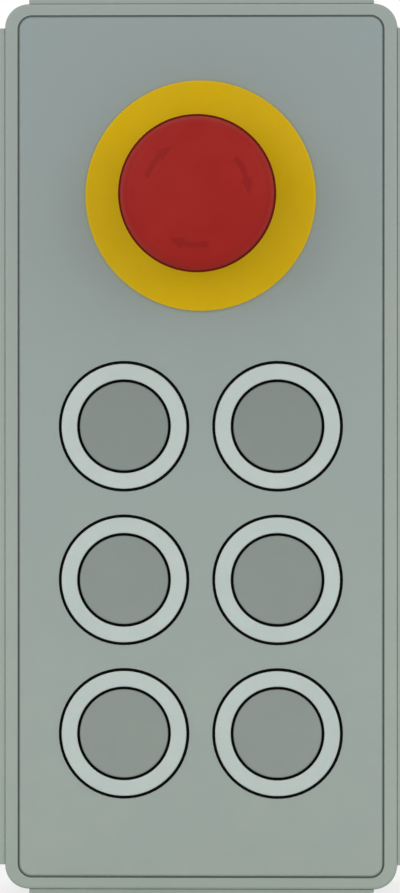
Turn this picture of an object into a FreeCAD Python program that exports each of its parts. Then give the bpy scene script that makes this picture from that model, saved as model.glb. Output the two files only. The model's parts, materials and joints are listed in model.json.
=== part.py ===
import FreeCAD
import Part
import math
import os

# A wall-mounted keypad module: six illuminated push keys in two columns under an emergency-stop button.
# It is modelled lying on its back, with x to the right, y up the face, z out of the face and the wall
# plane at z = 0, and is stood up against the wall when it is written out. Lengths are in millimetres.

# Layout of the face
key_columns = 2
key_rows = 3
key_pitch = 40.0
key_side_margin = 31.1
key_bottom_margin = 40.6
stop_to_keys = 60.0
stop_top_margin = 50.0

# Housing: front frame, side profiles, corner posts and rear cover
housing_depth = 62.0
corner_radius = 6.2
frame_depth = 6.0
frame_side_border = 3.3
frame_end_border = 2.95
frame_edge_radius = 0.8
ledge_width = 3.0
opening_corner_radius = 24.0
cover_thickness = 4.0
cover_chamfer = 0.8
gasket_thickness = 1.0
gasket_inset = 0.8
gasket_width = 3.4
wall_proud = 1.5
wall_web = 2.6
wall_seat = 4.1
wall_lip_height = 6.0
wall_edge_radius = 0.5
wall_rim_drop = 0.8
tongue_thickness = 1.6
tongue_length = 1.5
tongue_inset = 0.7
post_size = 10.0

# Front plate and its bonding tape
plate_thickness = 2.5
plate_proud = 0.4
plate_chamfer = 0.4
plate_gap = 0.5
plate_corner_radius = 3.2
tape_thickness = 0.5
tape_bead_drop = 0.5

# Fits: slip is between fixed pieces, press is a push-in seat, thread is a screw in its tapped hole
slip = 0.1
press = 0.05
thread = 0.05
screw_clearance = 0.25
cut_margin = 1.0

# Housing screws, countersunk, eight of one length
screw_radius = 2.0
screw_length = 12.0
screw_head_radius = 4.0
screw_head_sink = 0.15
screw_hex = 2.5
screw_hex_depth = 1.4
screw_hole_spare = 1.5

# Wall fixing: press nuts in the rear cover, and the cable entry
mount_spacing_x = 60.0
mount_spacing_y = 180.0
mount_bore_radius = 2.5
mount_shank_radius = 3.6
mount_flange_radius = 5.0
mount_flange_height = 3.0
cable_entry_y = 20.0
grommet_bore_radius = 5.0
grommet_neck_radius = 8.0
grommet_lip_radius = 10.0
grommet_lip_thickness = 1.2

# Keys
key_travel = 2.0
ring_outer_radius = 16.25
ring_width = 4.05
ring_gap = 0.8
ring_proud = 0.7
ring_edge_radius = 0.4
ring_flange_thickness = 1.5
flange_lap = 1.0
key_seal_thickness = 0.5
cap_gap = 0.7
cap_proud = 0.6
cap_edge_radius = 0.5
cap_thickness = 2.0
cap_skirt = 1.2
cap_lip_catch = 0.4
cap_lip_height = 1.4
cap_lip_gap = 0.3
cap_boss_radius = 3.6
cap_boss_height = 3.8
guide_wall_past_ring = 0.45
guide_flange_thickness = 1.5
guide_floor_thickness = 2.0
guide_spring_room = 3.5
guide_cavity_radius = 10.5
light_shaft_radius = 1.4
light_shafts_per_key = 4
plunger_radius = 2.0
plunger_clearance = 0.15
plunger_tip_radius = 1.4
plunger_tip_reach = 1.2
plunger_overtravel = 0.4
spigot_radius = 1.6
spigot_length = 3.3
switch_size = 12.0
switch_height = 4.0
switch_chamfer = 1.0
switch_floor = 0.4
key_spring_radius = 4.6
key_spring_wire = 0.35
key_spring_turns = 4
led_length = 1.9
led_width = 1.25
led_height = 0.8

# Keypad board
board_spacing = 18.2
board_thickness = 1.6
board_side_gap = 9.1
board_end_margin = 25.3
board_corner_radius = 2.0
standoff_radius = 3.0
standoff_inset = 4.5
standoff_seat = 1.0
standoff_thread_depth = 10.0
board_screw_radius = 1.5
board_screw_length = 8.0
board_screw_head_radius = 2.75
board_screw_head_height = 2.0
board_screw_slot = 0.8
header_length = 46.0
header_width = 11.0
header_height = 12.0
header_ways = 8
header_wire_radius = 1.5
header_wire_depth = 7.0
chip_size = 12.0
chip_height = 1.4
chip_corner = 0.8

# Emergency stop
stop_travel = 5.0
stop_disc_radius = 30.0
stop_disc_thickness = 1.5
stop_disc_edge = 0.4
stop_barrel_radius = 11.0
stop_barrel_length = 18.0
stop_hole_clearance = 0.15
stop_seal_thickness = 0.7
collar_radius = 14.2
collar_height = 7.1
collar_edge_radius = 1.0
chamber_radius = 7.5
shelf_depth = 1.2
shelf_thickness = 6.0
shaft_radius = 4.0
shaft_clearance = 0.06
cam_radius = 7.0
cam_thickness = 2.7
cam_gap = 0.3
cam_flat_depth = 1.2
head_radius = 20.3
head_height = 22.5
head_gap = 1.3
head_foot_radius = 17.6
head_rim_drop = 6.5
head_rim_round = 8.0
head_shoulder_inset = 1.0
head_shoulder_drop = 1.8
head_shoulder_round = 3.5
head_crown_round = 60.0
head_flat_radius = 9.0
head_wall = 2.2
head_rim_wall = 3.1
head_roof = 5.0
head_roof_round = 2.0
hub_radius = 7.0
hub_gap = 3.0
hub_hole_spare = 0.2
shaft_cover = 4.0
stop_spring_radius = 5.8
stop_spring_wire = 0.55
stop_spring_turns = 5
nut_across_flats = 28.0
nut_thickness = 6.0
pusher_gap = 0.2
crossbar_gap = 0.5
crossbar_thickness = 3.5
crossbar_width = 8.0
crossbar_overhang = 4.0
coupler_gap = 0.7
coupler_thickness = 9.0
coupler_leg_width = 9.0
coupler_corner_radius = 2.0
block_width = 16.0
block_length = 42.0
block_depth = 21.0
block_gap = 2.0
block_edge = 0.8
block_floor = 2.0
contact_radius = 2.4
contact_clearance = 0.2
contact_reach = 8.0
contact_spring_radius = 1.8
contact_spring_wire = 0.3
contact_spring_turns = 5
terminal_inset = 6.0
terminal_well_radius = 2.6
terminal_well_depth = 4.0
terminal_screw_radius = 2.3
terminal_screw_height = 2.4
terminal_slot_width = 0.7
terminal_slot_depth = 1.0
terminal_wire_radius = 1.6
terminal_wire_depth = 8.0
spring_seat_gap = 0.05

# Sizes and places that follow from the layout
frame_width = (key_columns - 1) * key_pitch + 2 * key_side_margin
frame_height = stop_top_margin + stop_to_keys + (key_rows - 1) * key_pitch + key_bottom_margin
stop_y = frame_height / 2 - stop_top_margin
first_row_y = stop_y - stop_to_keys
last_row_y = first_row_y - (key_rows - 1) * key_pitch
column_x = [(column - (key_columns - 1) / 2) * key_pitch for column in range(key_columns)]
key_places = [(x, first_row_y - row * key_pitch) for row in range(key_rows) for x in column_x]
plate_width = frame_width - 2 * (frame_side_border + plate_gap)
plate_height = frame_height - 2 * (frame_end_border + plate_gap)
pocket_width = plate_width + 2 * plate_gap
pocket_height = plate_height + 2 * plate_gap
pocket_radius = plate_corner_radius + plate_gap
opening_width = plate_width - 2 * ledge_width
opening_height = plate_height - 2 * ledge_width
screw_inset = wall_seat + slip + post_size / 2
corners = [(1, 1), (-1, 1), (-1, -1), (1, -1)]
screw_x = frame_width / 2 - screw_inset
screw_y = frame_height / 2 - screw_inset
screw_places = [(sx * screw_x, sy * screw_y) for sx, sy in corners]
mount_places = [(sx * mount_spacing_x / 2, sy * mount_spacing_y / 2) for sx, sy in corners]
board_width = frame_width - 2 * board_side_gap
board_height = first_row_y - last_row_y + 2 * board_end_margin
board_y = (first_row_y + last_row_y) / 2
standoff_x = board_width / 2 - standoff_inset
standoff_y = board_height / 2 - standoff_inset
standoff_places = [(sx * standoff_x, board_y + sy * standoff_y) for sx, sy in corners]
standoff_places += [(0, first_row_y - (row + 0.5) * key_pitch) for row in range(key_rows - 1)]
contact_x = (block_gap + block_width) / 2
block_places = [(-contact_x, stop_y), (contact_x, stop_y)]
terminal_y = block_length / 2 - terminal_inset
terminal_places = [(x, y + side * terminal_y) for x, y in block_places for side in (-1, 1)]

# Radii that follow from one another
ring_inner_radius = ring_outer_radius - ring_width
cap_radius = ring_inner_radius - cap_gap
cap_lip_radius = ring_inner_radius + cap_lip_catch
guide_bore_radius = cap_lip_radius + cap_lip_gap
guide_radius = ring_outer_radius + guide_wall_past_ring
key_hole_radius = ring_outer_radius + ring_gap
flange_radius = key_hole_radius + flange_lap
light_shaft_circle = (guide_bore_radius + guide_radius) / 2
stop_hole_radius = stop_barrel_radius + stop_hole_clearance
screw_hole_radius = screw_radius + screw_clearance
countersink_radius = screw_head_radius + screw_head_sink + press

# Levels along the depth, from the wall plane to the front of the mushroom head
wall_rear = cover_thickness + gasket_thickness
frame_rear = housing_depth - frame_depth
wall_front = frame_rear - gasket_thickness
wall_rim_front = housing_depth - wall_rim_drop
plate_front = housing_depth + plate_proud
plate_rear = plate_front - plate_thickness
ledge_front = plate_rear - tape_thickness
tape_bead_front = housing_depth - tape_bead_drop
board_front = plate_rear - board_spacing
board_rear = board_front - board_thickness
ring_front = plate_front + ring_proud
ring_seat = plate_rear - key_seal_thickness
ring_rear = ring_seat - ring_flange_thickness
cap_front = plate_front + cap_proud
cap_under = cap_front - cap_thickness
cap_lip_front = ring_rear - cap_lip_gap
cap_rear = cap_lip_front - cap_lip_height
cap_boss_rear = cap_under - cap_boss_height
guide_floor_front = cap_rear - key_travel - guide_spring_room
guide_floor_rear = guide_floor_front - guide_floor_thickness
switch_front = board_front + switch_height
disc_front = plate_front + stop_disc_thickness
stop_seal_front = disc_front + stop_seal_thickness
collar_front = stop_seal_front + collar_height
head_rear = disc_front + stop_travel + head_gap
head_front = head_rear + head_height
hub_rear = collar_front + hub_gap
shaft_front = head_front - shaft_cover
shelf_front = plate_rear - shelf_depth
shelf_rear = shelf_front - shelf_thickness
barrel_rear = plate_rear - stop_barrel_length
cam_front = shelf_rear - cam_gap
cam_rear = cam_front - cam_thickness
pusher_front = cam_rear - pusher_gap
crossbar_front = barrel_rear - crossbar_gap
crossbar_rear = crossbar_front - crossbar_thickness
block_front = crossbar_rear - stop_travel - pusher_gap
block_rear = block_front - block_depth
nut_rear = plate_rear - nut_thickness
coupler_front = nut_rear - coupler_gap
coupler_rear = coupler_front - coupler_thickness
contact_rear = block_front - contact_reach

Vector = FreeCAD.Vector


# Shapes that are used again and again

def rounded_outline(points):
    """Closed wire through (x, y, corner radius) points, with each corner rounded by its radius."""
    corners_of_wire = [Vector(x, y, 0) for x, y, _ in points]
    arcs = []
    for index, corner in enumerate(corners_of_wire):
        radius = points[index][2]
        if radius == 0:
            arcs.append((corner, None, corner))
            continue
        back = (corners_of_wire[index - 1] - corner).normalize()
        ahead = (corners_of_wire[(index + 1) % len(points)] - corner).normalize()
        half_angle = back.getAngle(ahead) / 2
        run = radius / math.tan(half_angle)
        inward = (back + ahead).normalize()
        middle = corner + inward * (radius / math.sin(half_angle) - radius)
        arcs.append((corner + back * run, middle, corner + ahead * run))
    edges = []
    for index, (start, middle, end) in enumerate(arcs):
        leave = arcs[index - 1][2]
        if leave.distanceToPoint(start) > 1e-6:
            edges.append(Part.LineSegment(leave, start).toShape())
        if middle is not None:
            edges.append(Part.Arc(start, middle, end).toShape())
    return Part.Wire(Part.__sortEdges__(edges))


def rounded_slab(width, height, radius, z_low, z_high, x=0, y=0):
    """Flat slab with rounded corners, centred on x, y."""
    half_width = width / 2
    half_height = height / 2
    points = [(sx * half_width, sy * half_height, radius) for sx, sy in corners]
    face = Part.Face(rounded_outline(points))
    face.translate(Vector(x, y, z_low))
    return face.extrude(Vector(0, 0, z_high - z_low))


def box(width, height, z_low, z_high, x=0, y=0):
    """Plain block centred on x, y."""
    corner = Vector(x - width / 2, y - height / 2, z_low)
    return Part.makeBox(width, height, z_high - z_low, corner)


def rod(radius, z_low, z_high, x=0, y=0):
    """Round bar along the depth."""
    return Part.makeCylinder(radius, z_high - z_low, Vector(x, y, z_low))


def tube(outer_radius, inner_radius, z_low, z_high, x=0, y=0):
    """Round ring along the depth."""
    return rod(outer_radius, z_low, z_high, x, y).cut(rod(inner_radius, z_low, z_high, x, y))


def turned(points, x=0, y=0):
    """Turned piece: an outline of (radius, level, corner radius) points spun about the line at x, y."""
    face = Part.Face(rounded_outline(points))
    face.rotate(Vector(0, 0, 0), Vector(1, 0, 0), 90)
    solid = face.revolve(Vector(0, 0, 0), Vector(0, 0, 1), 360)
    solid.translate(Vector(x, y, 0))
    return solid


def hexagon(across_flats, z_low, z_high, x=0, y=0):
    """Six-sided bar along the depth."""
    reach = across_flats / math.sqrt(3)
    angles = [math.radians(60 * side) for side in range(6)]
    points = [(reach * math.cos(angle), reach * math.sin(angle), 0) for angle in angles]
    face = Part.Face(rounded_outline(points))
    face.translate(Vector(x, y, z_low))
    return face.extrude(Vector(0, 0, z_high - z_low))


def coil(mean_radius, wire_radius, z_low, z_high, turns, x=0, y=0):
    """Open compression spring between two levels, bent in half turns that each tilt by half the pitch."""
    half_turns = 2 * turns
    rise = (z_high - z_low - 2 * (wire_radius + spring_seat_gap)) / half_turns
    halves = []
    for index in range(half_turns):
        side = 1 - 2 * (index % 2)
        start = Vector(side * mean_radius, 0, index * rise)
        middle = Vector(0, 0, (index + 0.5) * rise)
        axis = Vector(side * rise / 2, 0, mean_radius)
        section = Part.Face(Part.Wire(Part.makeCircle(wire_radius, start, Vector(0, 1, 0))))
        halves.append(section.revolve(middle, axis, 180))
    spring = halves[0].fuse(halves[1:])
    spring.translate(Vector(x, y, z_low + wire_radius + spring_seat_gap))
    return spring


def edges_at(shape, level):
    """Edges of a shape that lie wholly at one level."""
    flat = []
    for edge in shape.Edges:
        span = edge.BoundBox
        if abs(span.ZMin - level) < 1e-4 and abs(span.ZMax - level) < 1e-4:
            flat.append(edge)
    return flat


# Housing

def make_opening(z_low, z_high):
    """Space inside the ledge that the front plate rests on."""
    return rounded_slab(opening_width, opening_height, opening_corner_radius, z_low, z_high)


def make_front_frame():
    body = rounded_slab(frame_width, frame_height, corner_radius, frame_rear, housing_depth)
    body = body.makeFillet(frame_edge_radius, edges_at(body, housing_depth))
    pocket_top = housing_depth + cut_margin
    pocket = rounded_slab(pocket_width, pocket_height, pocket_radius, ledge_front, pocket_top)
    opening = make_opening(frame_rear - cut_margin, ledge_front + cut_margin)
    sinks = [screw_sink(ledge_front, -1, frame_rear, x, y) for x, y in screw_places]
    return body.cut([pocket, opening] + sinks)


def screw_sink(face_level, inward, far_level, x, y):
    """Countersunk clearance hole that runs from a face, in the inward direction, past far_level."""
    depth = countersink_radius - screw_hole_radius
    points = [
        (0, face_level - inward * cut_margin, 0),
        (countersink_radius, face_level - inward * cut_margin, 0),
        (countersink_radius, face_level, 0),
        (screw_hole_radius, face_level + inward * depth, 0),
        (screw_hole_radius, far_level + inward * cut_margin, 0),
        (0, far_level + inward * cut_margin, 0),
    ]
    return turned(points, x, y)


def make_housing_screw(face_level, inward, x, y):
    """Countersunk socket screw let in from a face along the inward direction."""
    shank = screw_radius - thread
    top = face_level + inward * screw_head_sink
    end = top + inward * screw_length
    points = [
        (0, top, 0),
        (screw_head_radius, top, 0),
        (shank, top + inward * (screw_head_radius - shank), 0),
        (shank, end - inward * shank / 2, 0),
        (shank / 2, end, 0),
        (0, end, 0),
    ]
    levels = sorted([top - inward * cut_margin, top + inward * screw_hex_depth])
    return turned(points, x, y).cut(hexagon(screw_hex, levels[0], levels[1], x, y))


def make_housing_screws():
    front = [make_housing_screw(ledge_front, -1, x, y) for x, y in screw_places]
    rear = [make_housing_screw(0, 1, x, y) for x, y in screw_places]
    return Part.makeCompound(front + rear)


def make_gasket(z_low, z_high):
    outer_radius = corner_radius - gasket_inset
    inner_radius = outer_radius - gasket_width
    outer_width = frame_width - 2 * gasket_inset
    outer_height = frame_height - 2 * gasket_inset
    outer = rounded_slab(outer_width, outer_height, outer_radius, z_low, z_high)
    inner_width = outer_width - 2 * gasket_width
    inner_height = outer_height - 2 * gasket_width
    return outer.cut(rounded_slab(inner_width, inner_height, inner_radius, z_low, z_high))


def make_wall(side_length, turn, x, y):
    """Side profile: a web with two lips, a rim beside the frame, and tongues at both ends for the posts."""
    length = side_length - 2 * corner_radius - 2 * slip
    web_inside = wall_proud - wall_web
    section = rounded_outline([
        (wall_proud, wall_rear, wall_edge_radius),
        (wall_proud, wall_rim_front, wall_edge_radius),
        (slip, wall_rim_front, 0),
        (slip, wall_front, 0),
        (-wall_seat, wall_front, 0),
        (-wall_seat, wall_front - wall_lip_height, 0),
        (web_inside, wall_front - wall_lip_height, 0),
        (web_inside, wall_rear + wall_lip_height, 0),
        (-wall_seat, wall_rear + wall_lip_height, 0),
        (-wall_seat, wall_rear, 0),
    ])
    face = Part.Face(section)
    face.rotate(Vector(0, 0, 0), Vector(1, 1, 1), 120)
    face.translate(Vector(-length / 2, 0, 0))
    profile = face.extrude(Vector(length, 0, 0))
    tongue_span = length + 2 * tongue_length
    tongue_y = -wall_seat + tongue_inset + tongue_thickness / 2
    rear_tongue = box(tongue_span, tongue_thickness, wall_rear, wall_rear + wall_lip_height, 0, tongue_y)
    front_tongue = box(tongue_span, tongue_thickness, wall_front - wall_lip_height, wall_front, 0, tongue_y)
    wall = profile.fuse([rear_tongue, front_tongue]).removeSplitter()
    wall.rotate(Vector(0, 0, 0), Vector(0, 0, 1), turn)
    wall.translate(Vector(x, y, 0))
    return wall


def make_corner_post(turn, x, y):
    """Corner post, drawn for the upper right corner with the outer corner of the frame at 0, 0."""
    centre = Vector(-corner_radius, -corner_radius, wall_rear)
    height = wall_front - wall_rear
    rounded = Part.makeCylinder(corner_radius, height, centre, Vector(0, 0, 1), 90)
    block_centre = -screw_inset
    block = box(post_size, post_size, wall_rear, wall_front, block_centre, block_centre)
    slot_width = tongue_thickness + 2 * slip
    slot_centre = -wall_seat + tongue_inset + tongue_thickness / 2
    slot_length = tongue_length + slip + cut_margin
    slot_start = -corner_radius - cut_margin + slot_length / 2
    side_slot = box(slot_width, slot_length, wall_rear, wall_front, slot_centre, slot_start)
    top_slot = box(slot_length, slot_width, wall_rear, wall_front, slot_start, slot_centre)
    front_end = ledge_front - screw_head_sink - screw_length - screw_hole_spare
    rear_end = screw_head_sink + screw_length + screw_hole_spare
    front_hole = rod(screw_radius, front_end, wall_front, block_centre, block_centre)
    rear_hole = rod(screw_radius, wall_rear, rear_end, block_centre, block_centre)
    post = rounded.fuse(block).removeSplitter().cut([side_slot, top_slot, front_hole, rear_hole])
    post.rotate(Vector(0, 0, 0), Vector(0, 0, 1), turn)
    post.translate(Vector(x, y, 0))
    return post


def make_corner_posts():
    posts = []
    for quarter, (sx, sy) in enumerate(corners):
        posts.append(make_corner_post(90 * quarter, sx * frame_width / 2, sy * frame_height / 2))
    return Part.makeCompound(posts)


def make_rear_cover():
    body = rounded_slab(frame_width, frame_height, corner_radius, 0, cover_thickness)
    body = body.makeChamfer(cover_chamfer, edges_at(body, 0))
    cuts = [screw_sink(0, 1, cover_thickness, x, y) for x, y in screw_places]
    through = cover_thickness + cut_margin
    for x, y in mount_places:
        cuts.append(rod(mount_shank_radius + press, -cut_margin, through, x, y))
    cuts.append(rod(grommet_neck_radius + press, -cut_margin, through, 0, cable_entry_y))
    cuts.append(rod(grommet_lip_radius + slip, -cut_margin, grommet_lip_thickness, 0, cable_entry_y))
    return body.cut(cuts)


def make_mount_nuts():
    nuts = []
    flange_front = cover_thickness + mount_flange_height
    for x, y in mount_places:
        shank = rod(mount_shank_radius, 0, cover_thickness, x, y)
        flange = rod(mount_flange_radius, cover_thickness, flange_front, x, y)
        bore = rod(mount_bore_radius, -cut_margin, flange_front + cut_margin, x, y)
        nuts.append(shank.fuse(flange).cut(bore))
    return Part.makeCompound(nuts)


def make_cable_grommet():
    inner_lip_front = cover_thickness + grommet_lip_thickness
    lip_round = grommet_lip_thickness / 3
    points = [
        (grommet_bore_radius, 0, 0),
        (grommet_lip_radius, 0, 0),
        (grommet_lip_radius, grommet_lip_thickness, 0),
        (grommet_neck_radius, grommet_lip_thickness, 0),
        (grommet_neck_radius, cover_thickness, 0),
        (grommet_lip_radius, cover_thickness, 0),
        (grommet_lip_radius, inner_lip_front, lip_round),
        (grommet_bore_radius, inner_lip_front, 0),
    ]
    return turned(points, 0, cable_entry_y)


def make_front_plate():
    body = rounded_slab(plate_width, plate_height, plate_corner_radius, plate_rear, plate_front)
    body = body.makeChamfer(plate_chamfer, edges_at(body, plate_front))
    cuts = [rod(stop_hole_radius, plate_rear - cut_margin, plate_front + cut_margin, 0, stop_y)]
    for x, y in key_places:
        cuts.append(rod(key_hole_radius, plate_rear - cut_margin, plate_front + cut_margin, x, y))
    for x, y in standoff_places:
        cuts.append(rod(standoff_radius + press, plate_rear - cut_margin, plate_rear + standoff_seat, x, y))
    return body.cut(cuts)


def make_plate_tape():
    """Bonding tape under the plate, with a bead that seals the joint round it."""
    width = pocket_width - 2 * slip
    height = pocket_height - 2 * slip
    body = rounded_slab(width, height, pocket_radius - slip, ledge_front, tape_bead_front)
    seat_width = plate_width + 2 * slip
    seat_height = plate_height + 2 * slip
    seat_radius = plate_corner_radius + slip
    seat = rounded_slab(seat_width, seat_height, seat_radius, plate_rear, tape_bead_front)
    return body.cut([seat, make_opening(ledge_front, plate_rear)])


# Keys

def make_key_ring(x, y):
    points = [
        (ring_inner_radius, ring_rear, 0),
        (flange_radius, ring_rear, 0),
        (flange_radius, ring_seat, 0),
        (ring_outer_radius, ring_seat, 0),
        (ring_outer_radius, ring_front, ring_edge_radius),
        (ring_inner_radius, ring_front, ring_edge_radius),
    ]
    return turned(points, x, y)


def make_key_cap(x, y):
    skirt_inside = cap_radius - cap_skirt
    spigot_hole = spigot_radius + press
    spigot_hole_front = cap_boss_rear + spigot_length + press
    points = [
        (spigot_hole, cap_boss_rear, 0),
        (cap_boss_radius, cap_boss_rear, 0),
        (cap_boss_radius, cap_under, 0),
        (skirt_inside, cap_under, 0),
        (skirt_inside, cap_rear, 0),
        (cap_lip_radius, cap_rear, 0),
        (cap_lip_radius, cap_lip_front, 0),
        (cap_radius, cap_lip_front, 0),
        (cap_radius, cap_front, cap_edge_radius),
        (0, cap_front, 0),
        (0, spigot_hole_front, 0),
        (spigot_hole, spigot_hole_front, 0),
    ]
    return turned(points, x, y)


def make_key_plunger(x, y):
    tip_rear = switch_front - plunger_tip_reach
    stem_rear = switch_front + key_travel + plunger_overtravel
    points = [
        (0, tip_rear, 0),
        (plunger_tip_radius, tip_rear, 0),
        (plunger_tip_radius, stem_rear, 0),
        (plunger_radius, stem_rear, 0),
        (plunger_radius, cap_boss_rear, 0),
        (spigot_radius, cap_boss_rear, 0),
        (spigot_radius, cap_boss_rear + spigot_length, 0),
        (0, cap_boss_rear + spigot_length, 0),
    ]
    return turned(points, x, y)


def make_key_spring(x, y):
    return coil(key_spring_radius, key_spring_wire, guide_floor_front, cap_under, key_spring_turns, x, y)


def light_places(x, y):
    """Centres of the light shafts round one key."""
    places = []
    for index in range(light_shafts_per_key):
        angle = 2 * math.pi * (index + 0.5) / light_shafts_per_key
        places.append((x + light_shaft_circle * math.cos(angle), y + light_shaft_circle * math.sin(angle)))
    return places


def make_key_guide(x, y):
    stem_hole = plunger_radius + plunger_clearance
    flange_rear = ring_rear - guide_flange_thickness
    points = [
        (guide_cavity_radius, board_front, 0),
        (guide_radius, board_front, 0),
        (guide_radius, flange_rear, 0),
        (flange_radius, flange_rear, 0),
        (flange_radius, ring_rear, 0),
        (guide_bore_radius, ring_rear, 0),
        (guide_bore_radius, guide_floor_front, 0),
        (stem_hole, guide_floor_front, 0),
        (stem_hole, guide_floor_rear, 0),
        (guide_cavity_radius, guide_floor_rear, 0),
    ]
    shafts = [rod(light_shaft_radius, board_front, ring_rear, sx, sy) for sx, sy in light_places(x, y)]
    return turned(points, x, y).cut(shafts)


def make_key_seal(x, y):
    return tube(flange_radius, ring_outer_radius + slip, ring_seat, plate_rear, x, y)


def make_key_switch(x, y):
    body = box(switch_size, switch_size, board_front, switch_front, x, y)
    upright = [edge for edge in body.Edges if edge.BoundBox.ZLength > switch_height / 2]
    body = body.makeChamfer(switch_chamfer, upright)
    hole = rod(plunger_tip_radius + plunger_clearance, board_front + switch_floor, switch_front, x, y)
    return body.cut(hole)


def make_ring_leds():
    leds = []
    for key_x, key_y in key_places:
        for x, y in light_places(key_x, key_y):
            leds.append(box(led_length, led_width, board_front, board_front + led_height, x, y))
    return Part.makeCompound(leds)


# Keypad board

def make_key_board():
    body = rounded_slab(board_width, board_height, board_corner_radius, board_rear, board_front, 0, board_y)
    hole_radius = board_screw_radius + slip
    return body.cut([rod(hole_radius, board_rear, board_front, x, y) for x, y in standoff_places])


def make_board_standoffs():
    standoffs = []
    for x, y in standoff_places:
        body = rod(standoff_radius, board_front, plate_rear + standoff_seat, x, y)
        hole = rod(board_screw_radius, board_front, board_front + standoff_thread_depth, x, y)
        standoffs.append(body.cut(hole))
    return Part.makeCompound(standoffs)


def make_board_screws():
    screws = []
    screw_rear = board_rear - board_screw_head_height
    for x, y in standoff_places:
        head = rod(board_screw_head_radius, screw_rear, board_rear, x, y)
        shank = rod(board_screw_radius - thread, board_rear, board_rear + board_screw_length, x, y)
        slot_length = 2 * board_screw_head_radius
        slot_front = screw_rear + board_screw_head_height / 2
        slot = box(slot_length, board_screw_slot, screw_rear, slot_front, x, y)
        screws.append(head.fuse(shank).cut(slot))
    return Part.makeCompound(screws)


def make_wire_header():
    rear = board_rear - header_height
    body = box(header_length, header_width, rear, board_rear, 0, board_y)
    pitch = header_length / header_ways
    cuts = []
    for way in range(header_ways):
        x = (way - (header_ways - 1) / 2) * pitch
        cuts.append(rod(header_wire_radius, rear, rear + header_wire_depth, x, board_y))
    return body.cut(cuts)


def make_controller_chip():
    y = first_row_y - key_pitch / 2 + standoff_inset + chip_size
    return rounded_slab(chip_size, chip_size, chip_corner, board_rear - chip_height, board_rear, 0, y)


# Emergency stop

def make_stop_disc():
    points = [
        (stop_hole_radius, plate_front, 0),
        (stop_disc_radius, plate_front, 0),
        (stop_disc_radius, disc_front, stop_disc_edge),
        (stop_hole_radius, disc_front, 0),
    ]
    return turned(points, 0, stop_y)


def make_stop_seal():
    return tube(collar_radius, stop_hole_radius, disc_front, stop_seal_front, 0, stop_y)


def make_stop_body():
    shaft_hole = shaft_radius + shaft_clearance
    points = [
        (shaft_hole, shelf_rear, 0),
        (chamber_radius, shelf_rear, 0),
        (chamber_radius, barrel_rear, 0),
        (stop_barrel_radius, barrel_rear, 0),
        (stop_barrel_radius, stop_seal_front, 0),
        (collar_radius, stop_seal_front, 0),
        (collar_radius, collar_front, collar_edge_radius),
        (chamber_radius, collar_front, 0),
        (chamber_radius, shelf_front, 0),
        (shaft_hole, shelf_front, 0),
    ]
    return turned(points, 0, stop_y)


def make_stop_nut():
    body = hexagon(nut_across_flats, nut_rear, plate_rear, 0, stop_y)
    return body.cut(rod(stop_barrel_radius + thread, nut_rear, plate_rear, 0, stop_y))


def make_stop_head():
    hub_hole = shaft_radius + press
    roof = head_front - head_roof
    shoulder_radius = head_radius - head_shoulder_inset
    points = [
        (hub_hole, hub_rear, 0),
        (hub_radius, hub_rear, 0),
        (hub_radius, roof, 0),
        (head_radius - head_rim_wall, roof, head_roof_round),
        (head_foot_radius - head_wall, head_rear, 0),
        (head_foot_radius, head_rear, 0),
        (head_radius, head_front - head_rim_drop, head_rim_round),
        (shoulder_radius, head_front - head_shoulder_drop, head_shoulder_round),
        (head_flat_radius, head_front, head_crown_round),
        (0, head_front, 0),
        (0, shaft_front + hub_hole_spare, 0),
        (hub_hole, shaft_front + hub_hole_spare, 0),
    ]
    return turned(points, 0, stop_y)


def make_stop_shaft():
    points = [
        (0, cam_rear, 0),
        (cam_radius, cam_rear, 0),
        (cam_radius, cam_front, 0),
        (shaft_radius, cam_front, 0),
        (shaft_radius, shaft_front, 0),
        (0, shaft_front, 0),
    ]
    shaft = turned(points, 0, stop_y)
    flats = []
    for side in (-1, 1):
        flat_y = stop_y + side * (cam_radius - cam_flat_depth / 2)
        flats.append(box(2 * cam_radius, cam_flat_depth, cam_rear, cam_front, 0, flat_y))
    return shaft.cut(flats)


def make_stop_spring():
    return coil(stop_spring_radius, stop_spring_wire, shelf_front, hub_rear, stop_spring_turns, 0, stop_y)


def make_stop_pusher():
    stem = rod(cam_radius, crossbar_front, pusher_front, 0, stop_y)
    length = 2 * (contact_x + crossbar_overhang)
    corner = crossbar_width / 4
    crossbar = rounded_slab(length, crossbar_width, corner, crossbar_rear, crossbar_front, 0, stop_y)
    return stem.fuse(crossbar)


def make_stop_coupler():
    width = 2 * block_width + block_gap
    body = rounded_slab(width, block_length, coupler_corner_radius, coupler_rear, coupler_front, 0, stop_y)
    bore = rod(stop_barrel_radius + slip, coupler_rear, coupler_front, 0, stop_y)
    legs = []
    for side in (-1, 1):
        leg_y = stop_y + side * (block_length - coupler_leg_width) / 2
        legs.append(box(width, coupler_leg_width, block_front, coupler_rear, 0, leg_y))
    return body.cut(bore).fuse(legs).removeSplitter()


def make_contact_block(x, y):
    body = box(block_width, block_length, block_rear, block_front, x, y)
    body = body.makeChamfer(block_edge, edges_at(body, block_rear))
    well_radius = contact_radius + contact_clearance
    cuts = [rod(well_radius, block_rear + block_floor, block_front, x, y)]
    wire_level = block_rear + terminal_well_depth + terminal_wire_radius
    for side in (-1, 1):
        well_y = y + side * terminal_y
        cuts.append(rod(terminal_well_radius, block_rear, block_rear + terminal_well_depth, x, well_y))
        start = Vector(x, y + side * block_length / 2, wire_level + terminal_wire_radius)
        cuts.append(Part.makeCylinder(terminal_wire_radius, terminal_wire_depth, start, Vector(0, -side, 0)))
    return body.cut(cuts)


def make_contact_plunger(x, y):
    return rod(contact_radius, contact_rear, crossbar_rear - pusher_gap, x, y)


def make_contact_spring(x, y):
    floor = block_rear + block_floor
    return coil(contact_spring_radius, contact_spring_wire, floor, contact_rear, contact_spring_turns, x, y)


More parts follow.
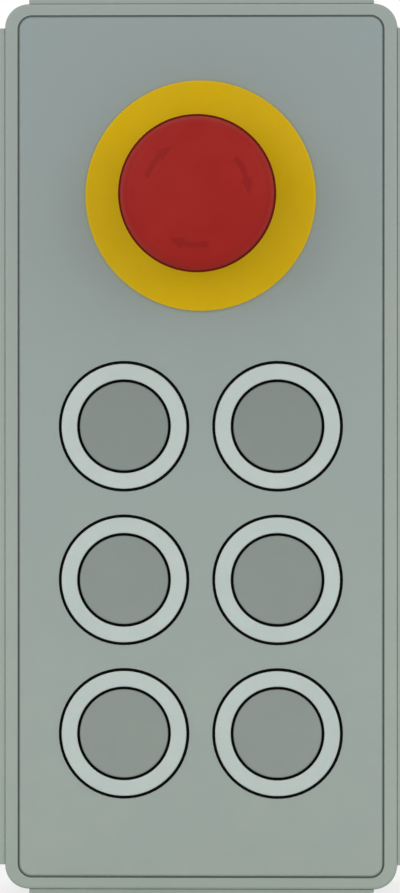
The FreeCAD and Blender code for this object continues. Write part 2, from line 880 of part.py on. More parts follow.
def make_terminal_screws():
    screws = []
    seat = block_rear + terminal_well_depth
    top = seat - terminal_screw_height
    for x, y in terminal_places:
        head = rod(terminal_screw_radius, top, seat, x, y)
        slot = box(2 * terminal_screw_radius, terminal_slot_width, top, top + terminal_slot_depth, x, y)
        screws.append(head.cut(slot))
    return Part.makeCompound(screws)


# Every node, then its file

def group(make, places):
    """One compound of the same piece at several places."""
    return Part.makeCompound([make(x, y) for x, y in places])


nodes = {
    "front_frame": make_front_frame(),
    "front_plate": make_front_plate(),
    "plate_tape": make_plate_tape(),
    "front_gasket": make_gasket(wall_front, frame_rear),
    "rear_gasket": make_gasket(cover_thickness, wall_rear),
    "wall_top": make_wall(frame_width, 0, 0, frame_height / 2),
    "wall_left": make_wall(frame_height, 90, -frame_width / 2, 0),
    "wall_bottom": make_wall(frame_width, 180, 0, -frame_height / 2),
    "wall_right": make_wall(frame_height, 270, frame_width / 2, 0),
    "corner_posts": make_corner_posts(),
    "rear_cover": make_rear_cover(),
    "housing_screws": make_housing_screws(),
    "mount_nuts": make_mount_nuts(),
    "cable_grommet": make_cable_grommet(),
    "key_guides": group(make_key_guide, key_places),
    "key_seals": group(make_key_seal, key_places),
    "key_switches": group(make_key_switch, key_places),
    "ring_leds": make_ring_leds(),
    "key_board": make_key_board(),
    "board_standoffs": make_board_standoffs(),
    "board_screws": make_board_screws(),
    "wire_header": make_wire_header(),
    "controller_chip": make_controller_chip(),
    "stop_disc": make_stop_disc(),
    "stop_seal": make_stop_seal(),
    "stop_body": make_stop_body(),
    "stop_nut": make_stop_nut(),
    "stop_head": make_stop_head(),
    "stop_shaft": make_stop_shaft(),
    "stop_spring": make_stop_spring(),
    "stop_pusher": make_stop_pusher(),
    "stop_coupler": make_stop_coupler(),
    "contact_blocks": group(make_contact_block, block_places),
    "contact_plungers": group(make_contact_plunger, block_places),
    "contact_springs": group(make_contact_spring, block_places),
    "terminal_screws": make_terminal_screws(),
}
for number, (key_x, key_y) in enumerate(key_places, start=1):
    nodes[f"key_ring_{number}"] = make_key_ring(key_x, key_y)
    nodes[f"key_cap_{number}"] = make_key_cap(key_x, key_y)
    nodes[f"key_plunger_{number}"] = make_key_plunger(key_x, key_y)
    nodes[f"key_spring_{number}"] = make_key_spring(key_x, key_y)

os.makedirs("parts", exist_ok=True)
for name, shape in nodes.items():
    shape.rotate(Vector(0, 0, 0), Vector(1, 0, 0), 90)
    shape.exportStep(f"parts/{name}.step")
    print(f"{name}: {len(shape.Solids)} solid(s), {shape.Volume:.1f} mm3, valid {shape.isValid()}")
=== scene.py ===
import json
import math

import bpy
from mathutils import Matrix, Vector


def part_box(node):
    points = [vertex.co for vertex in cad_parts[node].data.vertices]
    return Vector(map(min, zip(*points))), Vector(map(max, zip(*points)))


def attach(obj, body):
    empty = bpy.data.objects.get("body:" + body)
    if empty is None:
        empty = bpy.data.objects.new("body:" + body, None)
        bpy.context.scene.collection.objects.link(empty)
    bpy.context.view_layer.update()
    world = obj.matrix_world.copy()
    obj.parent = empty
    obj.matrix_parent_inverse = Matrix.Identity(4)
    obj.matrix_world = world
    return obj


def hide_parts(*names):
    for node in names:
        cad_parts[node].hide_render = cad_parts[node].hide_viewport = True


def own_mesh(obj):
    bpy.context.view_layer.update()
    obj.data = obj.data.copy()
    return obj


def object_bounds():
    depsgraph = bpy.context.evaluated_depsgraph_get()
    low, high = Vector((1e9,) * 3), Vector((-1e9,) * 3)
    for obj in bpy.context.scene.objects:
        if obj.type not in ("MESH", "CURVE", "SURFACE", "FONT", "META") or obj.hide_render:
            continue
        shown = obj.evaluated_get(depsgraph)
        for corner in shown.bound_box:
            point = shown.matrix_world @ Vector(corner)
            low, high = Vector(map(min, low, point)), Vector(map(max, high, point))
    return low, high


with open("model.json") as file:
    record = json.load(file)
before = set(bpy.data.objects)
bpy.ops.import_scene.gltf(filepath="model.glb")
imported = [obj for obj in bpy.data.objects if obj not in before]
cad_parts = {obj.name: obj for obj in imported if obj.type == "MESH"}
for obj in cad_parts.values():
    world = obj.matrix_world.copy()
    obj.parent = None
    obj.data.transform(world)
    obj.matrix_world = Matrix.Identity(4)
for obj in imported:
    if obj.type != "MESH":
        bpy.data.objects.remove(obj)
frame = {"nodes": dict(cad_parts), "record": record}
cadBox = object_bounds()
nodes = frame["nodes"]
scene = bpy.context.scene
print("frame loaded:", len(nodes), "nodes")

# Keypad module dressed for the photograph: painted metal housing, six light-ring keys and an emergency stop.
# Metres, x to the right, z up the face, the face looks towards -y and the wall is at y = 0.
# Lengths in the dictionaries of the pieces and finishes are in millimetres, patch scales are per metre.

millimetre = 0.001
keyCount = 6
white = (1.0, 1.0, 1.0, 1.0)


# Small helpers for node trees
def srgb(red, green, blue):
    def toLinear(value):
        share = value / 255
        if share <= 0.04045:
            return share / 12.92
        return ((share + 0.055) / 1.055) ** 2.4
    return (toLinear(red), toLinear(green), toLinear(blue), 1.0)


def put(tree, kind, inputs=None, **settings):
    node = tree.nodes.new(kind)
    for key, value in settings.items():
        setattr(node, key, value)
    for key, value in (inputs or {}).items():
        node.inputs[key].default_value = value
    return node


def maths(tree, operation, first, second=None):
    node = put(tree, "ShaderNodeMath", operation=operation)
    for socket, value in zip(node.inputs, (first, second)):
        if isinstance(value, (int, float)):
            socket.default_value = value
        elif value is not None:
            tree.links.new(value, socket)
    return node.outputs[0]


# The mix node has sockets for every data type: 0 is the factor, 6 and 7 are the two colours, 2 the result
def blendColours(tree, factor, first, second):
    node = put(tree, "ShaderNodeMix", data_type="RGBA")
    for socket, value in ((node.inputs[0], factor), (node.inputs[6], first), (node.inputs[7], second)):
        if isinstance(value, tuple):
            socket.default_value = value
        else:
            tree.links.new(value, socket)
    return node.outputs[2]


# Maps span onto reach and stops at its ends
def spread(tree, value, span, reach=(0.0, 1.0)):
    ends = {"From Min": span[0], "From Max": span[1], "To Min": reach[0], "To Max": reach[1]}
    node = put(tree, "ShaderNodeMapRange", ends)
    tree.links.new(value, node.inputs["Value"])
    return node.outputs["Result"]


# A shader group reads a position and some values, and puts out values that vary over the surface
def newGroup(name, values, outputs):
    group = bpy.data.node_groups.new(name, "ShaderNodeTree")
    group.interface.new_socket("Vector", in_out="INPUT", socket_type="NodeSocketVector")
    for label in values:
        group.interface.new_socket(label, in_out="INPUT", socket_type="NodeSocketFloat")
    for label in outputs:
        group.interface.new_socket(label, in_out="OUTPUT", socket_type="NodeSocketFloat")
    return group, group.nodes.new("NodeGroupInput"), group.nodes.new("NodeGroupOutput")


def useGroup(tree, group, position, values=None):
    node = put(tree, "ShaderNodeGroup", node_tree=group)
    tree.links.new(position, node.inputs["Vector"])
    for key, value in (values or {}).items():
        node.inputs[key].default_value = value
    return node


# Grain: the fine relief of a moulded or sprayed surface, and a slow drift of tone.
# The cells and the drift take their shares of the scale that a finish gives.
grainLook = {
    "detail": 3.0, "roughness": 0.6, "cellShare": 0.7, "pitDepth": 0.5, "heightSpan": (0.4, 1.0),
    "driftShare": 0.03, "driftDetail": 4.0, "driftRoughness": 0.55, "driftSpan": (0.3, 0.7),
}


def makeGrainGroup():
    look = grainLook
    group, start, end = newGroup("surfaceGrain", ["Scale"], ["Height", "Tone"])
    fine = put(group, "ShaderNodeTexNoise", {"Detail": look["detail"], "Roughness": look["roughness"]})
    cells = put(group, "ShaderNodeTexVoronoi")
    slow = put(group, "ShaderNodeTexNoise", {
        "Detail": look["driftDetail"], "Roughness": look["driftRoughness"],
    })
    for texture, share in ((fine, 1.0), (cells, look["cellShare"]), (slow, look["driftShare"])):
        group.links.new(start.outputs["Vector"], texture.inputs["Vector"])
        group.links.new(maths(group, "MULTIPLY", start.outputs["Scale"], share), texture.inputs["Scale"])
    pits = maths(group, "MULTIPLY", cells.outputs["Distance"], look["pitDepth"])
    group.links.new(maths(group, "ADD", fine.outputs["Fac"], pits), end.inputs["Height"])
    group.links.new(spread(group, slow.outputs["Fac"], look["driftSpan"]), end.inputs["Tone"])
    return group


# Edge wear: a broken mask along sharp edges
wearLook = {
    "radius": 0.4, "rays": 2, "edgeSpan": (0.995, 0.85),
    "patchScale": 420.0, "patchDetail": 4.0, "patchSpan": (0.42, 0.62),
}


def makeEdgeWearGroup():
    look = wearLook
    group, start, end = newGroup("edgeWear", ["Amount"], ["Mask"])
    rounded = put(group, "ShaderNodeBevel", {"Radius": look["radius"] * millimetre}, samples=look["rays"])
    surface = put(group, "ShaderNodeNewGeometry")
    across = put(group, "ShaderNodeVectorMath", operation="DOT_PRODUCT")
    patches = put(group, "ShaderNodeTexNoise", {"Scale": look["patchScale"], "Detail": look["patchDetail"]})
    group.links.new(start.outputs["Vector"], patches.inputs["Vector"])
    group.links.new(rounded.outputs["Normal"], across.inputs[0])
    group.links.new(surface.outputs["Normal"], across.inputs[1])
    edge = spread(group, across.outputs["Value"], look["edgeSpan"])
    broken = maths(group, "MULTIPLY", edge, spread(group, patches.outputs["Fac"], look["patchSpan"]))
    group.links.new(maths(group, "MULTIPLY", broken, start.outputs["Amount"]), end.inputs["Mask"])
    return group


# Dust: more on faces that look up, in soft patches
dustLook = {
    "colour": (190, 188, 178), "uprightShare": 0.35,
    "patchScale": 70.0, "patchDetail": 5.0, "patchRoughness": 0.65, "patchSpan": (0.4, 0.75),
}


def makeDustGroup():
    look = dustLook
    group, start, end = newGroup("settledDust", ["Amount"], ["Mask"])
    surface = put(group, "ShaderNodeNewGeometry")
    parts = put(group, "ShaderNodeSeparateXYZ")
    patches = put(group, "ShaderNodeTexNoise", {
        "Scale": look["patchScale"], "Detail": look["patchDetail"], "Roughness": look["patchRoughness"],
    })
    group.links.new(start.outputs["Vector"], patches.inputs["Vector"])
    group.links.new(surface.outputs["Normal"], parts.inputs["Vector"])
    upward = spread(group, parts.outputs["Z"], (0.0, 1.0), (look["uprightShare"], 1.0))
    soft = maths(group, "MULTIPLY", spread(group, patches.outputs["Fac"], look["patchSpan"]), upward)
    group.links.new(maths(group, "MULTIPLY", soft, start.outputs["Amount"]), end.inputs["Mask"])
    return group


# Painted shade by height: 0 at the foot of the object and 1 at its top, for finishes that turn darker
# towards the top
def makeHeightShadeGroup():
    group, start, end = newGroup("paintedHeightShade", [], ["Factor"])
    parts = put(group, "ShaderNodeSeparateXYZ")
    group.links.new(start.outputs["Vector"], parts.inputs["Vector"])
    group.links.new(spread(group, parts.outputs["Z"], (cadBox[0][2], cadBox[1][2])), end.inputs["Factor"])
    return group


# Painted gap shade: a dark colour on the side walls behind the rounded front edge of a ring or cap, painted
# shade in the gap round it
gapShadeLook = {"colour": (26, 29, 28), "start": 0.4, "end": 0.7}


def makeGapShadeGroup():
    group, start, end = newGroup("paintedGapShade", ["Start", "End"], ["Mask"])
    parts = put(group, "ShaderNodeSeparateXYZ")
    fade = put(group, "ShaderNodeMapRange")
    group.links.new(start.outputs["Vector"], parts.inputs["Vector"])
    group.links.new(parts.outputs["Y"], fade.inputs["Value"])
    group.links.new(start.outputs["Start"], fade.inputs["From Min"])
    group.links.new(start.outputs["End"], fade.inputs["From Max"])
    group.links.new(fade.outputs["Result"], end.inputs["Mask"])
    return group


grainGroup = makeGrainGroup()
wearGroup = makeEdgeWearGroup()
dustGroup = makeDustGroup()
heightShadeGroup = makeHeightShadeGroup()
gapShadeGroup = makeGapShadeGroup()


# One finish for each material slot. Colours are sRGB, as they look on the object.
plainGloss = 0.25
# The top colour of a finish is painted shade: it darkens the finish towards the top of the object
finishes = {
    "housing_metal": {
        "colour": (164, 175, 165), "drift": (159, 171, 162), "top": (154, 164, 159), "grain": 0.55,
        "relief": 0.03, "roughness": (0.44, 0.6), "wear": 0.55, "wearColour": (188, 194, 190), "dust": 0.06,
    },
    "plate_finish": {
        "colour": (162, 173, 165), "drift": (158, 169, 163), "top": (145, 158, 157), "grain": 0.4,
        "relief": 0.022, "roughness": (0.4, 0.54), "wear": 0.5, "wearColour": (182, 190, 186), "dust": 0.05,
    },
    "ring_plastic": {
        "colour": (194, 205, 201), "drift": (188, 200, 196), "grain": 0.3, "relief": 0.01,
        "roughness": (0.34, 0.46), "wear": 0.4, "wearColour": (216, 224, 220), "dust": 0.05,
        "subsurface": 0.2, "gapShadeNode": "key_ring_1",
    },
    "cap_plastic": {
        "colour": (148, 157, 150), "drift": (144, 153, 147), "top": (118, 129, 126), "grain": 0.35,
        "relief": 0.03, "roughness": (0.46, 0.62), "wear": 0.5, "wearColour": (166, 175, 170), "dust": 0.05,
        "gapShadeNode": "key_cap_1",
    },
    "stop_red": {
        "colour": (156, 29, 23), "drift": (150, 26, 21), "grain": 0.3, "relief": 0.01, "gloss": 0.12,
        "roughness": (0.36, 0.48), "wear": 0.45, "wearColour": (172, 62, 56), "dust": 0.02,
    },
    "stop_yellow": {
        "colour": (219, 183, 0), "drift": (214, 178, 0), "grain": 0.35, "relief": 0.012, "gloss": 0.12,
        "roughness": (0.4, 0.52), "wear": 0.45, "wearColour": (214, 186, 70), "dust": 0.04,
    },
    "gasket_rubber": {
        "colour": (20, 23, 23), "drift": (26, 29, 28), "grain": 0.5, "relief": 0.02,
        "roughness": (0.7, 0.86), "wear": 0.2, "wearColour": (52, 55, 54), "dust": 0.06,
    },
    "tape_foam": {
        "colour": (126, 134, 130), "drift": (119, 127, 123), "grain": 0.6, "relief": 0.05,
        "roughness": (0.85, 0.95), "wear": 0.1, "wearColour": (136, 142, 138), "dust": 0.03,
    },
    "fastener_steel": {
        "colour": (176, 178, 174), "drift": (160, 163, 161), "grain": 0.25, "relief": 0.006,
        "roughness": (0.28, 0.42), "wear": 0.4, "wearColour": (206, 206, 202), "dust": 0.04, "metallic": 1.0,
    },
    "spring_steel": {
        "colour": (168, 170, 170), "drift": (150, 152, 154), "grain": 0.15, "relief": 0.003,
        "roughness": (0.2, 0.34), "wear": 0.2, "wearColour": (200, 200, 198), "dust": 0.02, "metallic": 1.0,
    },
    "black_plastic": {
        "colour": (24, 26, 27), "drift": (30, 32, 33), "grain": 0.35, "relief": 0.012,
        "roughness": (0.46, 0.6), "wear": 0.25, "wearColour": (58, 60, 61), "dust": 0.05,
    },
    "board_laminate": {
        "colour": (16, 72, 44), "drift": (20, 84, 50), "grain": 0.8, "relief": 0.01,
        "roughness": (0.3, 0.42), "wear": 0.3, "wearColour": (150, 140, 96), "dust": 0.05,
    },
    "header_plastic": {
        "colour": (58, 112, 66), "drift": (52, 104, 60), "grain": 0.35, "relief": 0.01,
        "roughness": (0.4, 0.52), "wear": 0.25, "wearColour": (96, 140, 100), "dust": 0.05,
    },
    "led_plastic": {
        "colour": (226, 224, 204), "drift": (216, 212, 188), "grain": 0.2, "relief": 0.004,
        "roughness": (0.25, 0.35), "wear": 0.1, "wearColour": (236, 234, 222), "dust": 0.02,
        "subsurface": 0.2,
    },
    "collar_plastic": {
        "colour": (42, 44, 44), "drift": (48, 50, 50), "grain": 0.3, "relief": 0.01,
        "roughness": (0.42, 0.54), "wear": 0.3, "wearColour": (78, 80, 80), "dust": 0.05,
    },
    "contact_plastic": {
        "colour": (112, 116, 116), "drift": (104, 108, 109), "grain": 0.35, "relief": 0.01,
        "roughness": (0.44, 0.56), "wear": 0.25, "wearColour": (140, 144, 144), "dust": 0.05,
    },
}


# Colour in layers: drifting paint, painted shade darker towards the top, wear, dust and painted shade in the
# gaps behind ring and cap edges
def layerColours(tree, look, position, tone):
    colour = blendColours(tree, tone, srgb(*look["colour"]), srgb(*look["drift"]))
    # Painted shade: the colour turns darker towards the top of the object
    if "top" in look:
        height = useGroup(tree, heightShadeGroup, position)
        colour = blendColours(tree, height.outputs["Factor"], colour, srgb(*look["top"]))
    wear = useGroup(tree, wearGroup, position, {"Amount": look["wear"]})
    colour = blendColours(tree, wear.outputs["Mask"], colour, srgb(*look["wearColour"]))
    dust = useGroup(tree, dustGroup, position, {"Amount": look["dust"]})
    colour = blendColours(tree, dust.outputs["Mask"], colour, srgb(*dustLook["colour"]))
    # Painted shade: the side walls behind the front edge of a ring or cap are darkened to shade the gap
    # round it
    if "gapShadeNode" in look:
        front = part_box(look["gapShadeNode"])[0].y
        gapShade = useGroup(tree, gapShadeGroup, position, {
            "Start": front + gapShadeLook["start"] * millimetre,
            "End": front + gapShadeLook["end"] * millimetre,
        })
        colour = blendColours(tree, gapShade.outputs["Mask"], colour, srgb(*gapShadeLook["colour"]))
    return colour


def makeFinish(name, look):
    material = bpy.data.materials.new(name)
    material.use_nodes = True
    tree = material.node_tree
    shader = tree.nodes["Principled BSDF"]
    position = put(tree, "ShaderNodeTexCoord").outputs["Object"]
    grain = useGroup(tree, grainGroup, position, {"Scale": 1 / (look["grain"] * millimetre)})
    height = grain.outputs["Height"]
    colour = layerColours(tree, look, position, grain.outputs["Tone"])
    tree.links.new(colour, shader.inputs["Base Color"])
    rough = spread(tree, height, grainLook["heightSpan"], look["roughness"])
    tree.links.new(rough, shader.inputs["Roughness"])
    bump = put(tree, "ShaderNodeBump", {"Strength": 1.0, "Distance": look["relief"] * millimetre})
    tree.links.new(height, bump.inputs["Height"])
    tree.links.new(bump.outputs["Normal"], shader.inputs["Normal"])
    shader.inputs["Metallic"].default_value = look.get("metallic", 0.0)
    shader.inputs["Specular IOR Level"].default_value = look.get("gloss", plainGloss)
    shader.inputs["Subsurface Weight"].default_value = look.get("subsurface", 0.0)
    shader.inputs["Subsurface Scale"].default_value = millimetre
    return material


materials = {name: makeFinish(name, look) for name, look in finishes.items()}
print("finishes made:", len(materials))


# Every CAD node takes the finish of its slot in the record
def dressNodes():
    dressed = 0
    for part in frame["record"]["subparts"]:
        mesh = nodes[part["node"]].data
        mesh.materials.clear()
        mesh.materials.append(materials[part["material_slot"]])
        dressed += 1
    print("nodes dressed:", dressed)


dressNodes()


# A geometry node tree with named inputs for its sizes
def newGeometryTree(name, inputs):
    tree = bpy.data.node_groups.new(name, "GeometryNodeTree")
    tree.interface.new_socket("Geometry", in_out="OUTPUT", socket_type="NodeSocketGeometry")
    for label, kind in inputs.items():
        tree.interface.new_socket(label, in_out="INPUT", socket_type="NodeSocket" + kind)
    return tree, tree.nodes.new("NodeGroupInput"), tree.nodes.new("NodeGroupOutput")


def closeTree(tree, start, end, instances):
    realize = put(tree, "GeometryNodeRealizeInstances")
    dress = put(tree, "GeometryNodeSetMaterial")
    tree.links.new(instances, realize.inputs["Geometry"])
    tree.links.new(realize.outputs["Geometry"], dress.inputs["Geometry"])
    tree.links.new(start.outputs["Material"], dress.inputs["Material"])
    tree.links.new(dress.outputs["Geometry"], end.inputs["Geometry"])


# Runs a tree on an empty mesh and leaves a plain mesh object of that name
def growPiece(name, tree, values):
    carrier = bpy.data.objects.new(name + "Carrier", bpy.data.meshes.new(name + "Carrier"))
    scene.collection.objects.link(carrier)
    modifier = carrier.modifiers.new("grow", "NODES")
    modifier.node_group = tree
    for item in tree.interface.items_tree:
        if item.in_out == "INPUT" and item.name in values:
            modifier[item.identifier] = values[item.name]
    evaluated = carrier.evaluated_get(bpy.context.evaluated_depsgraph_get())
    mesh = bpy.data.meshes.new_from_object(evaluated)
    bpy.data.objects.remove(carrier)
    mesh.name = name
    piece = bpy.data.objects.new(name, mesh)
    scene.collection.objects.link(piece)
    return piece


# Compression springs, wound by a spiral along y and repeated in a row along x
springLook = {"steps": 40, "sides": 12}
springs = [
    {"node": "stop_spring", "wire": 0.55, "turns": 5, "joint": "stop_push", "count": 1},
    {"node": "contact_springs", "wire": 0.3, "turns": 5, "joint": "stop_push", "count": 2},
]
springs += [
    {"node": f"key_spring_{number}", "wire": 0.35, "turns": 4, "joint": f"key_{number}_press", "count": 1}
    for number in range(1, keyCount + 1)
]


def makeSpringTree():
    tree, start, end = newGeometryTree("springCoil", {
        "Start": "Vector", "Coil Radius": "Float", "Wire Radius": "Float", "Length": "Float",
        "Turns": "Float", "Count": "Int", "Spacing": "Float", "Material": "Material",
    })
    given = start.outputs
    spiral = put(tree, "GeometryNodeCurveSpiral")
    steps = maths(tree, "MULTIPLY", given["Turns"], springLook["steps"])
    wire = put(tree, "GeometryNodeCurvePrimitiveCircle", {"Resolution": springLook["sides"]})
    sweep = put(tree, "GeometryNodeCurveToMesh", {"Fill Caps": True})
    smooth = put(tree, "GeometryNodeSetShadeSmooth")
    lay = put(tree, "GeometryNodeTransform", {"Rotation": (math.pi / 2, 0.0, 0.0)})
    row = put(tree, "GeometryNodeMeshLine", mode="OFFSET")
    offset = put(tree, "ShaderNodeCombineXYZ")
    copies = put(tree, "GeometryNodeInstanceOnPoints")
    tree.links.new(steps, spiral.inputs["Resolution"])
    tree.links.new(given["Turns"], spiral.inputs["Rotations"])
    tree.links.new(given["Coil Radius"], spiral.inputs["Start Radius"])
    tree.links.new(given["Coil Radius"], spiral.inputs["End Radius"])
    tree.links.new(given["Length"], spiral.inputs["Height"])
    tree.links.new(given["Wire Radius"], wire.inputs["Radius"])
    tree.links.new(spiral.outputs["Curve"], sweep.inputs["Curve"])
    tree.links.new(wire.outputs["Curve"], sweep.inputs["Profile Curve"])
    tree.links.new(sweep.outputs["Mesh"], smooth.inputs["Geometry"])
    tree.links.new(smooth.outputs["Geometry"], lay.inputs["Geometry"])
    tree.links.new(given["Count"], row.inputs["Count"])
    tree.links.new(given["Start"], row.inputs["Start Location"])
    tree.links.new(given["Spacing"], offset.inputs["X"])
    tree.links.new(offset.outputs["Vector"], row.inputs["Offset"])
    tree.links.new(row.outputs["Mesh"], copies.inputs["Points"])
    tree.links.new(lay.outputs["Geometry"], copies.inputs["Instance"])
    closeTree(tree, start, end, copies.outputs["Instances"])
    return tree


def makeSprings():
    tree = makeSpringTree()
    for spring in springs:
        low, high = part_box(spring["node"])
        wire = spring["wire"] * millimetre
        across = high.z - low.z
        length = high.y - low.y
        middle = (low.z + high.z) / 2
        piece = growPiece("coil_" + spring["node"], tree, {
            "Start": (low.x + across / 2, high.y - wire, middle),
            "Coil Radius": across / 2 - wire,
            "Wire Radius": wire,
            "Length": length - 2 * wire,
            "Turns": float(spring["turns"]),
            "Count": spring["count"],
            "Spacing": high.x - low.x - across,
            "Material": materials["spring_steel"],
        })
        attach(piece, "housing")
        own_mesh(piece)
        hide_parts(spring["node"])
    print("springs wound:", len(springs))


makeSprings()


# Twist arrows on the crown of the mushroom head: three curved arrows that follow its slope
arrowLook = {
    "count": 3, "turn": 42.0, "radius": 13.4, "sweep": 44.0, "band": 1.2,
    "headSweep": 17.0, "headWidth": 2.8, "raise": 0.06, "thickness": 0.3,
    "crownStart": 3.8, "crownRadius": 60.0, "steps": 61, "rows": 5, "tipMerge": 0.001,
    "finish": {
        "colour": (144, 24, 19), "drift": (139, 22, 18), "grain": 0.3, "relief": 0.01, "gloss": 0.12,
        "roughness": (0.4, 0.5), "wear": 0.0, "wearColour": (160, 52, 46), "dust": 0.02,
    },
}


# A flat sheet, -0.5 to 0.5 along and -1 to 1 across, is drawn into an arrow and bent round the crown
def makeArrowTree():
    tree, start, end = newGeometryTree("twistArrows", {
        "Count": "Int", "Turn": "Float", "Radius": "Float", "Sweep": "Float", "Band": "Float",
        "Head Sweep": "Float", "Head Width": "Float", "Lift": "Float", "Crown Start": "Float",
        "Crown Radius": "Float", "Centre": "Vector", "Material": "Material",
    })
    given = start.outputs
    grid = {"Size X": 1.0, "Size Y": 2.0, "Vertices X": arrowLook["steps"], "Vertices Y": arrowLook["rows"]}
    sheet = put(tree, "GeometryNodeMeshGrid", grid)
    place = put(tree, "GeometryNodeInputPosition")
    parts = put(tree, "ShaderNodeSeparateXYZ")
    tree.links.new(place.outputs["Position"], parts.inputs["Vector"])
    along = maths(tree, "MULTIPLY", maths(tree, "ADD", parts.outputs["X"], 0.5), given["Sweep"])
    left = maths(tree, "SUBTRACT", given["Sweep"], along)
    taper = maths(tree, "MULTIPLY", maths(tree, "DIVIDE", left, given["Head Sweep"]), given["Head Width"])
    inHead = maths(tree, "LESS_THAN", left, given["Head Sweep"])
    inBand = maths(tree, "SUBTRACT", 1.0, inHead)
    headPart = maths(tree, "MULTIPLY", taper, inHead)
    halfWidth = maths(tree, "ADD", headPart, maths(tree, "MULTIPLY", given["Band"], inBand))
    radius = maths(tree, "ADD", given["Radius"], maths(tree, "MULTIPLY", parts.outputs["Y"], halfWidth))
    beyond = maths(tree, "SUBTRACT", radius, given["Crown Start"])
    crownSpan = maths(tree, "MULTIPLY", given["Crown Radius"], 2.0)
    drop = maths(tree, "DIVIDE", maths(tree, "MULTIPLY", beyond, beyond), crownSpan)
    bent = put(tree, "ShaderNodeCombineXYZ")
    tree.links.new(maths(tree, "MULTIPLY", radius, maths(tree, "COSINE", along)), bent.inputs["X"])
    clockwise = maths(tree, "MULTIPLY", maths(tree, "SINE", along), -1.0)
    tree.links.new(maths(tree, "MULTIPLY", radius, clockwise), bent.inputs["Z"])
    tree.links.new(maths(tree, "SUBTRACT", drop, given["Lift"]), bent.inputs["Y"])
    shape = put(tree, "GeometryNodeSetPosition")
    tree.links.new(sheet.outputs["Mesh"], shape.inputs["Geometry"])
    tree.links.new(bent.outputs["Vector"], shape.inputs["Position"])
    closedTip = put(tree, "GeometryNodeMergeByDistance", {"Distance": arrowLook["tipMerge"] * millimetre})
    tree.links.new(shape.outputs["Geometry"], closedTip.inputs["Geometry"])
    points = put(tree, "GeometryNodePoints")
    tree.links.new(given["Count"], points.inputs["Count"])
    tree.links.new(given["Centre"], points.inputs["Position"])
    index = put(tree, "GeometryNodeInputIndex")
    step = maths(tree, "DIVIDE", 2 * math.pi, given["Count"])
    turn = maths(tree, "ADD", maths(tree, "MULTIPLY", index.outputs["Index"], step), given["Turn"])
    spin = put(tree, "ShaderNodeCombineXYZ")
    tree.links.new(maths(tree, "MULTIPLY", turn, -1.0), spin.inputs["Y"])
    copies = put(tree, "GeometryNodeInstanceOnPoints")
    tree.links.new(points.outputs["Points"], copies.inputs["Points"])
    tree.links.new(closedTip.outputs["Geometry"], copies.inputs["Instance"])
    tree.links.new(spin.outputs["Vector"], copies.inputs["Rotation"])
    closeTree(tree, start, end, copies.outputs["Instances"])
    return tree


def makeTwistArrows():
    look = arrowLook
    low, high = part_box("stop_head")
    centre = (low + high) / 2
    piece = growPiece("twistArrows", makeArrowTree(), {
        "Count": look["count"],
        "Turn": math.radians(look["turn"]),
        "Radius": look["radius"] * millimetre,
        "Sweep": math.radians(look["sweep"]),
        "Band": look["band"] / 2 * millimetre,
        "Head Sweep": math.radians(look["headSweep"]),
        "Head Width": look["headWidth"] / 2 * millimetre,
        "Lift": look["raise"] * millimetre,
        "Crown Start": look["crownStart"] * millimetre,
        "Crown Radius": look["crownRadius"] * millimetre,
        "Centre": (centre.x, low.y, centre.z),
        "Material": makeFinish("arrow_red", look["finish"]),
    })
    thicken = piece.modifiers.new("thicken", "SOLIDIFY")
    thicken.thickness = look["thickness"] * millimetre
    thicken.offset = -1.0
    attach(piece, "stop_head")
    print("twist arrows laid:", look["count"])


makeTwistArrows()


# A thin bead runs round the head just in front of its widest line; its dark colour is painted shade, a dark
# outline round the rim
beadLook = {
    "outer": 20.35, "inner": 19.6, "front": 4.5, "depth": 1.0, "round": 0.15, "steps": 192,
    "finish": {
        "colour": (104, 30, 12), "drift": (98, 28, 11), "grain": 0.3, "relief": 0.005, "gloss": 0.05,
        "roughness": (0.55, 0.65), "wear": 0.0, "wearColour": (120, 40, 30), "dust": 0.0,
    },
}


# Spins a closed outline of (radius, y) points about the line through centre along y
def spinOutline(name, outline, centre, steps):
    vertices = []
    faces = []
    count = len(outline)
    for step in range(steps):
        angle = 2 * math.pi * step / steps
        for radius, level in outline:
            right = centre.x + radius * math.cos(angle)
            up = centre.z + radius * math.sin(angle)
            vertices.append((right, level, up))
        following = (step + 1) % steps
        near = step * count
        far = following * count
        for index in range(count):
            ahead = (index + 1) % count
            faces.append((near + index, near + ahead, far + ahead, far + index))
    mesh = bpy.data.meshes.new(name)
    mesh.from_pydata(vertices, [], faces)
    mesh.update()
    piece = bpy.data.objects.new(name, mesh)
    scene.collection.objects.link(piece)
    return piece


def makeHeadBead():
    look = beadLook
    low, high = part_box("stop_head")
    outer = look["outer"] * millimetre
    inner = look["inner"] * millimetre
    front = low.y + look["front"] * millimetre
    rear = front + look["depth"] * millimetre
    bevel = look["round"] * millimetre
    outline = [
        (inner, front),
        (outer - bevel, front),
        (outer, front + bevel),
        (outer, rear - bevel),
        (outer - bevel, rear),
        (inner, rear),
    ]
    piece = spinOutline("headBead", outline, (low + high) / 2, look["steps"])
    piece.data.materials.append(makeFinish("bead_outline_shade", look["finish"]))
    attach(piece, "stop_head")
    print("head bead laid")


makeHeadBead()


# Camera at the photograph's angle: a little to the right of square on, far off, so that depth hardly shows.
# Its target, distance and height seen are in metres, its sensor in millimetres.
cameraLook = {
    "target": (-0.00022, -0.062, 0.00003), "distance": 2.0, "azimuth": 2.15, "elevation": 0.35,
    "heightSeen": 0.23254, "sensor": 36.0, "clip": (0.01, 50.0),
}


# The turn that points a camera or lamp along direction
def lookAlong(direction):
    return direction.to_track_quat("-Z", "Y").to_euler()


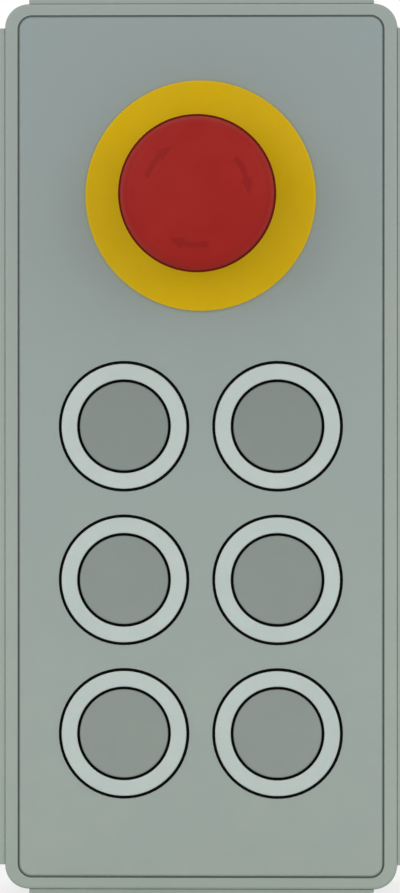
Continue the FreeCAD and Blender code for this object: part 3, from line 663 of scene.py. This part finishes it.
def makeCamera():
    look = cameraLook
    azimuth = math.radians(look["azimuth"])
    elevation = math.radians(look["elevation"])
    away = Vector((
        math.sin(azimuth) * math.cos(elevation),
        -math.cos(azimuth) * math.cos(elevation),
        math.sin(elevation),
    ))
    data = bpy.data.cameras.new("photoCamera")
    data.sensor_fit = "VERTICAL"
    data.sensor_height = look["sensor"]
    data.lens = look["sensor"] * look["distance"] / look["heightSeen"]
    data.clip_start, data.clip_end = look["clip"]
    camera = bpy.data.objects.new("photoCamera", data)
    camera.location = Vector(look["target"]) + away * look["distance"]
    camera.rotation_euler = lookAlong(-away)
    scene.collection.objects.link(camera)
    scene.camera = camera


# Soft studio light in metres and watts: broad panels left and right of the camera and a little above it,
# and even light from all round
lightLook = {
    "ambient": 0.8, "panelSize": 0.9, "panelPower": 2.92,
    "panels": {"leftPanel": (-0.9, -1.3, 0.45), "rightPanel": (0.9, -1.3, 0.45)},
}


def makeLights():
    for name, place in lightLook["panels"].items():
        data = bpy.data.lights.new(name, "AREA")
        data.shape = "SQUARE"
        data.size = lightLook["panelSize"]
        data.energy = lightLook["panelPower"]
        lamp = bpy.data.objects.new(name, data)
        lamp.location = Vector(place)
        lamp.rotation_euler = lookAlong(-Vector(place))
        scene.collection.objects.link(lamp)


# 1 where the camera sees the background, directly or in a reflection, and 0 where it lights a surface
def seenDirectly(tree):
    path = put(tree, "ShaderNodeLightPath")
    seen = maths(tree, "MAXIMUM", path.outputs["Is Camera Ray"], path.outputs["Is Glossy Ray"])
    return maths(tree, "MAXIMUM", seen, path.outputs["Is Transmission Ray"])


# The world is white where it is seen, and lights the surfaces at the ambient level
def makeWorld():
    world = bpy.data.worlds.new("studio")
    scene.world = world
    world.use_nodes = True
    tree = world.node_tree
    background = tree.nodes["Background"]
    background.inputs["Color"].default_value = white
    level = spread(tree, seenDirectly(tree), (0.0, 1.0), (lightLook["ambient"], 1.0))
    tree.links.new(level, background.inputs["Strength"])


# A pale floor, its size in metres. Its white share is mixed in where it is seen, so that its shadow stays.
floorLook = {"size": 12.0, "paint": 0.9, "roughness": 0.9, "whiteShare": 0.75}


def makeFloor():
    look = floorLook
    half = look["size"] / 2
    level = cadBox[0][2]
    corners = [(-half, -half, level), (half, -half, level), (half, half, level), (-half, half, level)]
    mesh = bpy.data.meshes.new("studioFloor")
    mesh.from_pydata(corners, [], [(0, 1, 2, 3)])
    floor = bpy.data.objects.new("studioFloor", mesh)
    scene.collection.objects.link(floor)
    material = bpy.data.materials.new("studioFloor")
    material.use_nodes = True
    tree = material.node_tree
    shader = tree.nodes["Principled BSDF"]
    shader.inputs["Base Color"].default_value = (look["paint"], look["paint"], look["paint"], 1.0)
    shader.inputs["Roughness"].default_value = look["roughness"]
    shader.inputs["Specular IOR Level"].default_value = 0.0
    glow = put(tree, "ShaderNodeEmission", {"Strength": 1.0})
    mix = put(tree, "ShaderNodeMixShader")
    share = maths(tree, "MULTIPLY", seenDirectly(tree), look["whiteShare"])
    tree.links.new(share, mix.inputs[0])
    tree.links.new(shader.outputs[0], mix.inputs[1])
    tree.links.new(glow.outputs[0], mix.inputs[2])
    tree.links.new(mix.outputs[0], tree.nodes["Material Output"].inputs["Surface"])
    mesh.materials.append(material)


makeCamera()
makeLights()
makeWorld()
makeFloor()
scene.view_settings.view_transform = "Standard"
print("camera, light and floor set")
